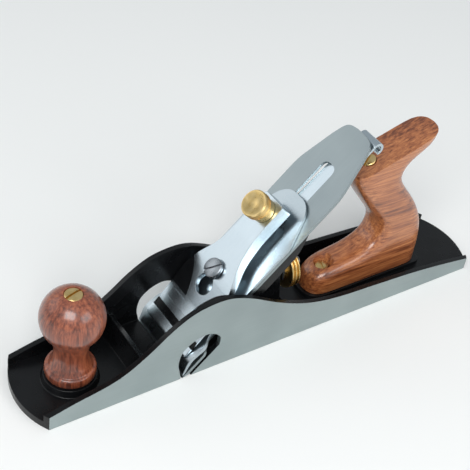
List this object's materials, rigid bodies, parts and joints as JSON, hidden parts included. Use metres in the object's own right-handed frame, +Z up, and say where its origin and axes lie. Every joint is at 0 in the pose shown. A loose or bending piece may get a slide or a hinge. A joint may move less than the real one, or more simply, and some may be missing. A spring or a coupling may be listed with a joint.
{
  "type": "bench rebate plane",
  "caption": "Hand plane for wide rebates: iron body with open-sided cheeks, adjustable frog and cutting iron, lever cap with thumbscrew, turned wooden knob and tote",
  "frame": {"origin": "middle of the flat sole, on its underside", "axes": "+X runs to the heel where the rear handle is, -X to the toe; +Y to the right of a user behind the plane facing the toe; +Z up out of the sole"},
  "size_m": [0.33, 0.054, 0.1268],
  "materials": {
    "enamel": "glossy black baked enamel on iron; cheek faces and sole ground bright",
    "wood": "varnished reddish-brown hardwood",
    "brass": "turned and lacquered",
    "ground_steel": "ground satin tool steel",
    "nickel": "bright nickel plate",
    "dark_steel": "machined steel, lightly oiled"
  },
  "bodies": {
    "body": {"body_casting": "enamel", "front_knob": "wood", "knob_bolt": "dark_steel", "knob_nut": "brass", "tote": "wood", "tote_bolt": "dark_steel", "tote_nut": "brass", "tote_toe_screw": "brass", "frog_washer_left": "dark_steel", "frog_screw_left": "dark_steel", "frog_washer_right": "dark_steel", "frog_screw_right": "dark_steel"},
    "frog": {"frog": "enamel", "depth_stud": "dark_steel", "y_lever_pin": "dark_steel", "lateral_rivet": "dark_steel", "lever_cap_screw": "nickel", "frog_clip": "dark_steel", "frog_clip_screw": "dark_steel"},
    "frog_adjuster": {"frog_adjusting_screw": "dark_steel"},
    "y_lever": {"y_lever": "dark_steel"},
    "depth_bush": {"depth_bush": "nickel"},
    "depth_wheel": {"depth_wheel": "brass"},
    "cap_iron": {"cap_iron": "nickel", "cap_iron_screw": "dark_steel"},
    "cutting_iron": {"cutting_iron": "ground_steel"},
    "lateral_lever": {"lateral_lever": "nickel", "lateral_disc": "dark_steel"},
    "lever_cap": {"lever_cap": "nickel"},
    "thumbscrew_stem": {"thumbscrew_stem": "dark_steel"},
    "thumb_knob": {"thumb_knob": "brass"}
  },
  "joints": [
    {"name": "frog_slide", "type": "slide", "parent": "body", "child": "frog", "axis": [1, 0, 0], "range_m": [-0.0006, 0.0012]},
    {"name": "frog_adjust_turn", "type": "hinge", "parent": "frog", "child": "frog_adjuster", "pos_m": [0.012, 0, 0.0096], "axis": [1, 0, 0], "range_deg": [-222, 438]},
    {"name": "iron_feed", "type": "slide", "parent": "frog", "child": "cap_iron", "axis": [0.7071, 0, 0.7071], "range_m": [-0.001, 0.0015]},
    {"name": "iron_skew", "type": "hinge", "parent": "cap_iron", "child": "cutting_iron", "pos_m": [-0.02599, 0, 0.0425], "axis": [-0.7071, 0, 0.7071], "range_deg": [-1.1, 1.1]},
    {"name": "y_lever_swing", "type": "hinge", "parent": "frog", "child": "y_lever", "pos_m": [-0.004, 0, 0.047], "axis": [0, 1, 0], "range_deg": [-4.1, 6]},
    {"name": "bush_slide", "type": "slide", "parent": "frog", "child": "depth_bush", "axis": [1, 0, 0], "range_m": [-0.00123, 0.00083]},
    {"name": "depth_wheel_turn", "type": "hinge", "parent": "depth_bush", "child": "depth_wheel", "pos_m": [0.0167, 0, 0.0354], "axis": [1, 0, 0], "range_deg": [-273, 406]},
    {"name": "lateral_swing", "type": "hinge", "parent": "frog", "child": "lateral_lever", "pos_m": [0.01686, 0, 0.08096], "axis": [-0.7071, 0, 0.7071], "range_deg": [-5, 5]},
    {"name": "lever_cap_release", "type": "slide", "parent": "frog", "child": "lever_cap", "axis": [0.7071, 0, 0.7071], "range_m": [0, 0.0114]},
    {"name": "stem_slide", "type": "slide", "parent": "lever_cap", "child": "thumbscrew_stem", "axis": [-0.7071, 0, 0.7071], "range_m": [0, 0.003]},
    {"name": "thumb_turn", "type": "hinge", "parent": "thumbscrew_stem", "child": "thumb_knob", "pos_m": [-0.01142, 0, 0.09228], "axis": [-0.7071, 0, 0.7071], "range_deg": [-6, 1025]}
  ],
  "couplings": [
    {"joint": "frog_adjust_turn", "follows": "frog_slide", "rad_per_m": 6283.2},
    {"joint": "y_lever_swing", "follows": "iron_feed", "rad_per_m": 67.7},
    {"joint": "bush_slide", "follows": "iron_feed", "ratio": -0.786},
    {"joint": "depth_wheel_turn", "follows": "iron_feed", "rad_per_m": 4659},
    {"joint": "lateral_swing", "follows": "iron_skew", "ratio": -4.476},
    {"joint": "thumb_turn", "follows": "stem_slide", "rad_per_m": 5927.5}
  ]
}
